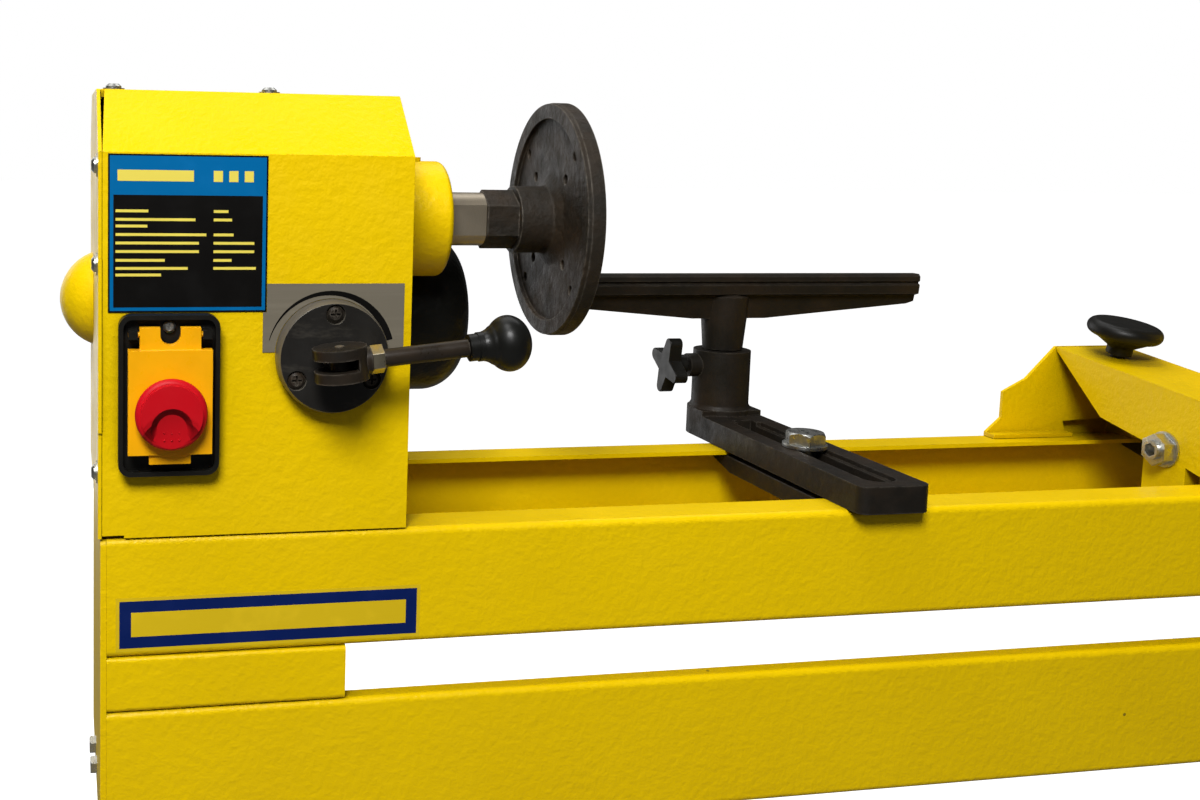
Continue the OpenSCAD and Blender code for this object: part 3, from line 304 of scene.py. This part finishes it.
def moulded(name, base, roughness, grain=0.00006, coat=0.0):
    """Moulded plastic: fine spark-eroded grain and a slightly uneven gloss."""
    surface = Surface(name, base, roughness, coat=coat, coat_roughness=0.2, specular=0.25)
    shade = tuple(value * 0.86 for value in base)
    surface.colour(surface.mix(surface.range(surface.noise(30.0), 0.4, 0.7, 0.0, 1.0), base, shade))
    surface.roughness(surface.range(surface.noise(110.0), 0.3, 0.7, roughness - 0.06, roughness + 0.08))
    surface.bump(surface.noise(1500.0, detail=2.0), grain, 0.6)
    return surface.material


def film(name, base, roughness, brushed=False, specular=0.2):
    """Printed film: even colour with faint rub marks, brushed along X if asked."""
    surface = Surface(name, base, roughness, specular=specular)
    rubbed = tuple(min(1.0, value * 1.2 + 0.003) for value in base)
    marks = surface.noise(60.0, detail=8.0, stretch=(0.15, 1.0, 6.0) if brushed else None)
    surface.colour(surface.mix(surface.range(marks, 0.52, 0.8, 0.0, 0.6), base, rubbed))
    surface.roughness(surface.range(marks, 0.3, 0.7, roughness - 0.05, roughness + 0.1))
    surface.bump(surface.noise(500.0), 0.00003, 0.4)
    return surface.material


def rubber(name, base):
    """Belt rubber with a woven cover along its length."""
    surface = Surface(name, base, 0.75)
    lighter = tuple(value * 1.9 for value in base)
    surface.colour(surface.mix(surface.range(surface.noise(400.0), 0.4, 0.7, 0.0, 1.0), base, lighter))
    surface.bump(surface.noise(900.0, stretch=(4.0, 1.0, 1.0)), 0.0001, 0.7)
    return surface.material


SPINDLE_AXIS = tuple(joint_at["spindle_spin"])
CAP_LOW, CAP_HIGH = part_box("stop_button")
CAP_CENTRE = (CAP_LOW + CAP_HIGH) / 2
RECESS_DROP = 0.0070
RECESS = (CAP_CENTRE.x, CAP_LOW.y, CAP_CENTRE.z - RECESS_DROP)
MATERIALS = {
    "yellow_paint": paint("yellow_paint", (0.87, 0.585, 0.0), (0.83, 0.55, 0.0), 0.36, 0.03),
    "black_paint": paint("black_paint", (0.0055, 0.0055, 0.0045), (0.009, 0.009, 0.008), 0.34, 0.06),
    "cast_iron": cast("cast_iron", (0.012, 0.010, 0.0075), (0.085, 0.075, 0.06), 0.50, 0.00030, 0.18),
    "rough_iron": cast("rough_iron", (0.019, 0.0155, 0.0112), (0.26, 0.23, 0.19), 0.50, 0.0011, 0.17),
    "flange_iron": sided("flange_iron", (0.013, 0.0115, 0.0095), (0.13, 0.115, 0.09), 0.42),
    "polished_steel": turned_metal("polished_steel", (0.44, 0.375, 0.28), SPINDLE_AXIS, 0.36, 0.00002),
    "zinc_steel": plated("zinc_steel", (0.66, 0.66, 0.62), 0.30),
    "passivated_steel": plated("passivated_steel", (0.60, 0.53, 0.38), 0.32),
    "blackened_steel": cast("blackened_steel", (0.015, 0.0125, 0.0095), (0.15, 0.13, 0.105), 0.36, 0.00005),
    "black_plastic": moulded("black_plastic", (0.008, 0.0075, 0.006), 0.40),
    "phenolic": moulded("phenolic", (0.007, 0.007, 0.006), 0.34, grain=0.00001, coat=0.05),
    "orange_plastic": moulded("orange_plastic", (0.98, 0.45, 0.002), 0.30, grain=0.00002, coat=0.08),
    "red_plastic": mushroom("red_plastic", (0.56, 0.0035, 0.010), 0.44, RECESS),
    "green_plastic": moulded("green_plastic", (0.02, 0.30, 0.06), 0.34),
    "belt_rubber": rubber("belt_rubber", (0.012, 0.012, 0.012)),
    "label_film": film("label_film", (0.0, 0.130, 0.35), 0.50, specular=0.06),
    "label_black": film("label_black", (0.0030, 0.0026, 0.0022), 0.50, specular=0.1),
    "label_yellow": film("label_yellow", (0.82, 0.68, 0.10), 0.45),
    "decal_blue": film("decal_blue", (0.0015, 0.012, 0.10), 0.36),
    "decal_yellow": film("decal_yellow", (0.72, 0.50, 0.01), 0.36),
    "scale_film": film("scale_film", (0.165, 0.145, 0.108), 0.46, brushed=True),
}


# ---------- making pieces ----------

def clad(piece, material):
    piece.data.materials.clear()
    piece.data.materials.append(MATERIALS[material])


def fixed(piece, body, slot, material=None):
    """Puts a finished piece on its body, clad in the material named by its slot, or in the given material instead.
    """
    clad(piece, material or slot)
    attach(piece, body)


def shaded(piece):
    """Smooth shading with sharp creases, and normals that follow the large faces."""
    crease = math.radians(32.0)
    piece.data.polygons.foreach_set("use_smooth", [True] * len(piece.data.polygons))
    piece.data.set_sharp_from_angle(angle=crease)
    weighted = piece.modifiers.new("weighted", "WEIGHTED_NORMAL")
    weighted.keep_sharp = True
    return piece


def from_bmesh(name, shape):
    mesh = bpy.data.meshes.new(name)
    shape.to_mesh(mesh)
    shape.free()
    piece = bpy.data.objects.new(name, mesh)
    scene.collection.objects.link(piece)
    return piece


def softened(node, width, segments, material):
    """A copy of a CAD node with its sharp edges rounded by width, which stands for the node."""
    same_point = 2e-6
    flat = math.radians(0.4)
    crease = math.radians(34.0)
    shape = bmesh.new()
    shape.from_mesh(nodes[node].data)
    bmesh.ops.remove_doubles(shape, verts=shape.verts, dist=same_point)
    if node not in KEPT_TRIANGLES:
        bmesh.ops.dissolve_limit(shape, angle_limit=flat, verts=shape.verts, edges=shape.edges)
    sharp = [edge for edge in shape.edges
             if len(edge.link_faces) == 2 and edge.calc_face_angle() > crease]
    bmesh.ops.bevel(shape, geom=sharp, offset=width, offset_type="OFFSET", segments=segments,
                    profile=0.5, affect="EDGES", clamp_overlap=True)
    piece = shaded(from_bmesh(node + "_shape", shape))
    fixed(piece, body_of[node], slot_of[node], material)
    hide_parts(node)


def shortened(node):
    """A smooth-shaded copy of a CAD node, with a mesh of its own, which stands for the node."""
    shape = bmesh.new()
    shape.from_mesh(nodes[node].data)
    piece = shaded(from_bmesh(node + "_shape", shape))
    fixed(piece, body_of[node], slot_of[node])
    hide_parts(node)
    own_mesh(piece)


def plate_y(name, outline, y_back, y_front, body, slot, material=None):
    """A flat piece on the front: an outline of (x, z) points in metres, from y_back to y_front."""
    shape = bmesh.new()
    back = [shape.verts.new((x, y_back, z)) for x, z in outline]
    front = [shape.verts.new((x, y_front, z)) for x, z in outline]
    shape.faces.new(front)
    shape.faces.new(back[::-1])
    for i in range(len(outline)):
        j = (i + 1) % len(outline)
        shape.faces.new((back[i], back[j], front[j], front[i]))
    bmesh.ops.recalc_face_normals(shape, faces=shape.faces)
    fixed(from_bmesh(name, shape), body, slot, material)


def rectangle(x0, z0, x1, z1):
    return [(x0, z0), (x1, z0), (x1, z1), (x0, z1)]


# ---------- CAD nodes ----------

# Nodes whose triangles are not joined into larger faces: joined, the faceplate's back renders black
KEPT_TRIANGLES = {"faceplate"}

# Node, rounding of its edges in mm, segments, and the material where it isn't the slot's own
SOFT = [
    ("headstock_case", 1.1, 3, None), ("side_cover", 0.5, 2, None), ("bearing_housing", 0.8, 2, None),
    ("faceplate", 0.6, 2, "rough_iron"), ("spindle", 0.3, 2, None), ("motor_case", 0.5, 2, None),
    ("lever_flange", 0.4, 2, "flange_iron"), ("lever_shaft", 0.4, 2, None), ("handle_fork", 0.6, 2, None),
    ("handle_rod", 0.4, 2, None), ("handle_nut", 0.4, 2, "passivated_steel"),
    ("handle_knob", 0.4, 2, "phenolic"),
    ("switch_base", 0.9, 3, None), ("switch_flap", 0.7, 3, None), ("stop_button", 0.5, 2, None),
    ("banjo", 1.8, 3, None), ("clamp_plate", 1.0, 2, None), ("clamp_bolt", 0.5, 2, None),
    ("clamp_washer", 0.3, 2, None), ("tool_rest", 1.0, 3, None), ("tool_rest_post", 0.4, 2, None),
    ("tool_rest_knob", 1.2, 3, None), ("tail_saddle", 1.6, 3, None), ("tail_barrel", 1.4, 3, None),
    ("saddle_knob", 0.8, 3, None), ("stop_bolt", 0.4, 2, None), ("handwheel", 0.8, 2, None),
    ("quill_lock", 0.5, 2, None), ("quill", 0.4, 2, None), ("live_centre", 0.3, 2, None),
    ("end_plates", 0.5, 2, None), ("rail_spacers", 0.4, 2, None), ("leg_braces", 0.5, 2, None),
    ("front_leg_left", 0.8, 2, None), ("rear_leg_left", 0.8, 2, None),
    ("front_leg_right", 0.8, 2, None), ("rear_leg_right", 0.8, 2, None),
    ("tail_clamp_plate", 1.0, 2, None), ("frame_bolts", 0.3, 1, None), ("cable_gland", 0.4, 2, None),
]

for node, piece in nodes.items():
    clad(piece, slot_of[node])
for node, width, segments, material in SOFT:
    softened(node, width * MM, segments, material)
shortened("sheave_spring")
shortened("drive_belt")


# ---------- label, scale, decal and grip dots ----------

def label_print():
    """Blue plate with a black outline and a dark field; plain bars stand in place of its lines."""
    low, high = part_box("rating_label")
    outline = 0.9 * MM
    side = 2.8 * MM
    head = 22.0 * MM
    back = low.y
    outline_back = back + 0.1 * MM
    outline_front = back - 0.05 * MM
    blue_front = back - 0.10 * MM
    print_front = blue_front - 0.08 * MM
    bar_front = print_front - 0.05 * MM
    plate_y("label_outline", rectangle(low.x, low.z, high.x, high.z), outline_back, outline_front,
            "bed", "label_film", "label_black")
    plate_y("label_blue", rectangle(low.x + outline, low.z + outline, high.x - outline, high.z - outline),
            back, blue_front, "bed", "label_film")
    plate_y("label_field", rectangle(low.x + side, low.z + side, high.x - side, high.z - head),
            back, print_front, "bed", "label_film", "label_black")
    # Drop of each line below the first one, and the lengths of its left and right bars, in mm
    lines = [(0.0, 17.5, 8.0), (4.6, 43.0, 10.0), (8.2, 17.0, 0.0), (12.8, 49.0, 11.0), (17.4, 45.0, 22.5),
             (22.0, 45.0, 22.5), (26.8, 26.5, 10.0), (31.2, 39.0, 23.5), (34.8, 24.5, 0.0)]
    bar_h = 1.5 * MM
    first_line = high.z - head - 9.4 * MM
    left = low.x + 4.0 * MM
    right = low.x + 57.0 * MM
    for i, (drop, left_len, right_len) in enumerate(lines):
        z = first_line - drop * MM
        for j, (x, length) in enumerate(((left, left_len * MM), (right, right_len * MM))):
            if length:
                plate_y(f"label_bar_{i}_{j}", rectangle(x, z, x + length, z + bar_h),
                        blue_front, bar_front, "bed", "label_film", "label_yellow")
    head_z0 = high.z - 14.5 * MM
    head_z1 = high.z - 8.5 * MM
    mark_w = 5.0 * MM
    mark_pitch = 8.5 * MM
    first_mark = high.x - 30.0 * MM
    title_x0 = left + 1.0 * MM
    title_x1 = left + 42.0 * MM
    for i in range(3):
        x = first_mark + i * mark_pitch
        plate_y(f"label_mark_{i}", rectangle(x, head_z0, x + mark_w, head_z1),
                back, print_front, "bed", "label_film", "label_yellow")
    plate_y("label_title", rectangle(title_x0, head_z0, title_x1, head_z1),
            back, print_front, "bed", "label_film", "label_yellow")


def scale_crescent():
    """Tapered speed mark that widens from low to high round the lever."""
    centre = joint_at["speed_lever_turn"]
    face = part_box("speed_scale")[0].y
    far = 36.4 * MM
    thin = 0.3 * MM
    growth = 4.5 * MM
    first_angle = 166
    sweep = 152
    steps = 48
    outer = []
    inner = []
    for i in range(steps + 1):
        share = i / steps
        angle = math.radians(first_angle - sweep * share)
        near = far - thin - growth * share
        outer.append((centre.x + far * math.cos(angle), centre.z + far * math.sin(angle)))
        inner.append((centre.x + near * math.cos(angle), centre.z + near * math.sin(angle)))
    plate_y("scale_crescent", outer + inner[::-1], face, face - 0.12 * MM,
            "bed", "scale_film", "label_black")


def rail_decal():
    """Plain two-colour band on the front rail, near the left end."""
    low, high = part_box("front_rail")
    face = low.y
    x0 = low.x + 7.0 * MM
    x1 = low.x + 178.0 * MM
    z0 = high.z - 63.0 * MM
    z1 = high.z - 36.0 * MM
    # Name of each layer, how far it reaches past the band and its thickness in mm, and its material
    layers = [("decal_keyline", 2.0, 0.06, "decal_yellow"), ("decal_band", 0.0, 0.14, "decal_blue"),
              ("decal_stripe", -6.5, 0.2, "decal_yellow")]
    for name, past, thickness, material in layers:
        grow = past * MM
        plate_y(name, rectangle(x0 - grow, z0 - grow, x1 + grow, z1 + grow),
                face, face - thickness * MM, "bed", "label_film", material)


def thumb_dots():
    """Three rows of small grip dots in the recess of the mushroom."""
    pitch = 4.0 * MM
    dot_r = 0.6 * MM
    sunk = 2.6 * MM
    lowered = 2.3 * MM
    middle = Vector(RECESS) + Vector((0.0, sunk, -lowered))
    shape = bmesh.new()
    for i in (-1, 0, 1):
        for j in (-1, 0, 1):
            place = middle + Vector((i * pitch, 0.0, j * pitch))
            bmesh.ops.create_icosphere(shape, subdivisions=2, radius=dot_r,
                                       matrix=Matrix.Translation(place))
    fixed(shaded(from_bmesh("thumb_dots", shape)), "stop_button", "red_plastic")


label_print()
scale_crescent()
rail_decal()
thumb_dots()


# ---------- floor, light and camera ----------

WHITE = (1.0, 1.0, 1.0, 1.0)


def seen_and_lit(tree, seen, lit):
    """Shows the first shader to the camera, while the second one decides how much light comes back."""
    path = tree.nodes.new("ShaderNodeLightPath")
    mix = tree.nodes.new("ShaderNodeMixShader")
    tree.links.new(path.outputs["Is Camera Ray"], mix.inputs[0])
    tree.links.new(lit.outputs[0], mix.inputs[1])
    tree.links.new(seen.outputs[0], mix.inputs[2])
    return mix


def floor():
    """Plain pale floor that the camera sees as white and that throws little light back."""
    glow = 0.78
    returned = 0.22
    reach = 30.0
    surface = Surface("studio_floor", (0.95, 0.95, 0.945), 1.0, specular=0.0)
    surface.shader.inputs["Emission Color"].default_value = WHITE
    surface.shader.inputs["Emission Strength"].default_value = glow
    surface.colour(surface.mix(surface.noise(2.0), (0.96, 0.96, 0.955), (0.93, 0.93, 0.93)))
    matt = surface.node("ShaderNodeBsdfDiffuse")
    matt.inputs["Color"].default_value = (returned, returned, returned, 1.0)
    mix = seen_and_lit(surface.tree, surface.shader, matt)
    surface.join(mix.outputs[0], surface.tree.nodes["Material Output"].inputs["Surface"])
    shape = bmesh.new()
    shape.faces.new([shape.verts.new((x, y, 0.0)) for x, y in
                     ((-reach, -reach), (reach, -reach), (reach, reach), (-reach, reach))])
    plane = from_bmesh("studio_floor", shape)
    plane.data.materials.append(surface.material)


def aimed(obj, place, target):
    obj.location = place
    obj.rotation_euler = (Vector(target) - Vector(place)).to_track_quat("-Z", "Y").to_euler()
    scene.collection.objects.link(obj)
    return obj


def soft_box(name, place, target, size, power):
    """Area light of size (width, height) in metres and power in watts, which the camera doesn't see."""
    light = bpy.data.lights.new(name, "AREA")
    light.shape = "RECTANGLE"
    light.size, light.size_y = size
    light.energy = power
    box = aimed(bpy.data.objects.new(name, light), place, target)
    box.visible_camera = False


def ceiling(strength, direction, spread):
    """Broad even light from one direction; spread is how wide its source looks, in degrees."""
    distance = 4.0
    light = bpy.data.lights.new("ceiling", "SUN")
    light.energy = strength
    light.angle = math.radians(spread)
    aimed(bpy.data.objects.new("ceiling", light), Vector(direction) * distance, (0.0, 0.0, 0.0))


def studio():
    """White backdrop with a weak fill, a key light at the front left, and softer ones above and behind."""
    fill_strength = 0.045
    world = bpy.data.worlds.new("studio")
    world.use_nodes = True
    tree = world.node_tree
    fill = tree.nodes["Background"]
    fill.inputs["Color"].default_value = WHITE
    fill.inputs["Strength"].default_value = fill_strength
    backdrop = tree.nodes.new("ShaderNodeBackground")
    backdrop.inputs["Color"].default_value = WHITE
    mix = seen_and_lit(tree, backdrop, fill)
    tree.links.new(mix.outputs[0], tree.nodes["World Output"].inputs["Surface"])
    scene.world = world
    ceiling(0.8, (-0.30, -0.10, 0.95), 22)
    soft_box("key", (-1.05, -1.38, 2.25), (-0.5, 0.0, 0.95), (0.7, 0.6), 42.0)
    soft_box("top", (-0.3, 0.9, 2.6), (-0.3, 0.0, 1.0), (2.6, 1.0), 12.0)
    soft_box("card", (-1.6, 3.0, 1.2), (-0.8, 0.0, 1.0), (2.6, 2.6), 30.0)
    scene.view_settings.view_transform = "Standard"


def camera():
    """Eye just above the spindle's height, before the bed's left end, looking slightly right and down."""
    eye = Vector((-0.741705, -0.823670, 1.103115))
    yaw = 0.195748
    pitch = 0.105920
    roll = 0.018900
    forward = Vector((math.sin(yaw) * math.cos(pitch), math.cos(yaw) * math.cos(pitch), -math.sin(pitch)))
    right = Vector((math.cos(yaw), -math.sin(yaw), 0.0))
    up = right.cross(forward)
    tilted_right = math.cos(roll) * right + math.sin(roll) * up
    tilted_up = -math.sin(roll) * right + math.cos(roll) * up
    data = bpy.data.cameras.new("camera")
    data.lens = 40.155
    data.shift_x = 0.22504
    data.shift_y = -0.1
    data.clip_end = 200.0
    obj = bpy.data.objects.new("camera", data)
    turn = Matrix((tilted_right, tilted_up, -forward)).transposed().to_4x4()
    obj.matrix_world = Matrix.Translation(eye) @ turn
    scene.collection.objects.link(obj)
    scene.camera = obj


floor()
studio()
camera()
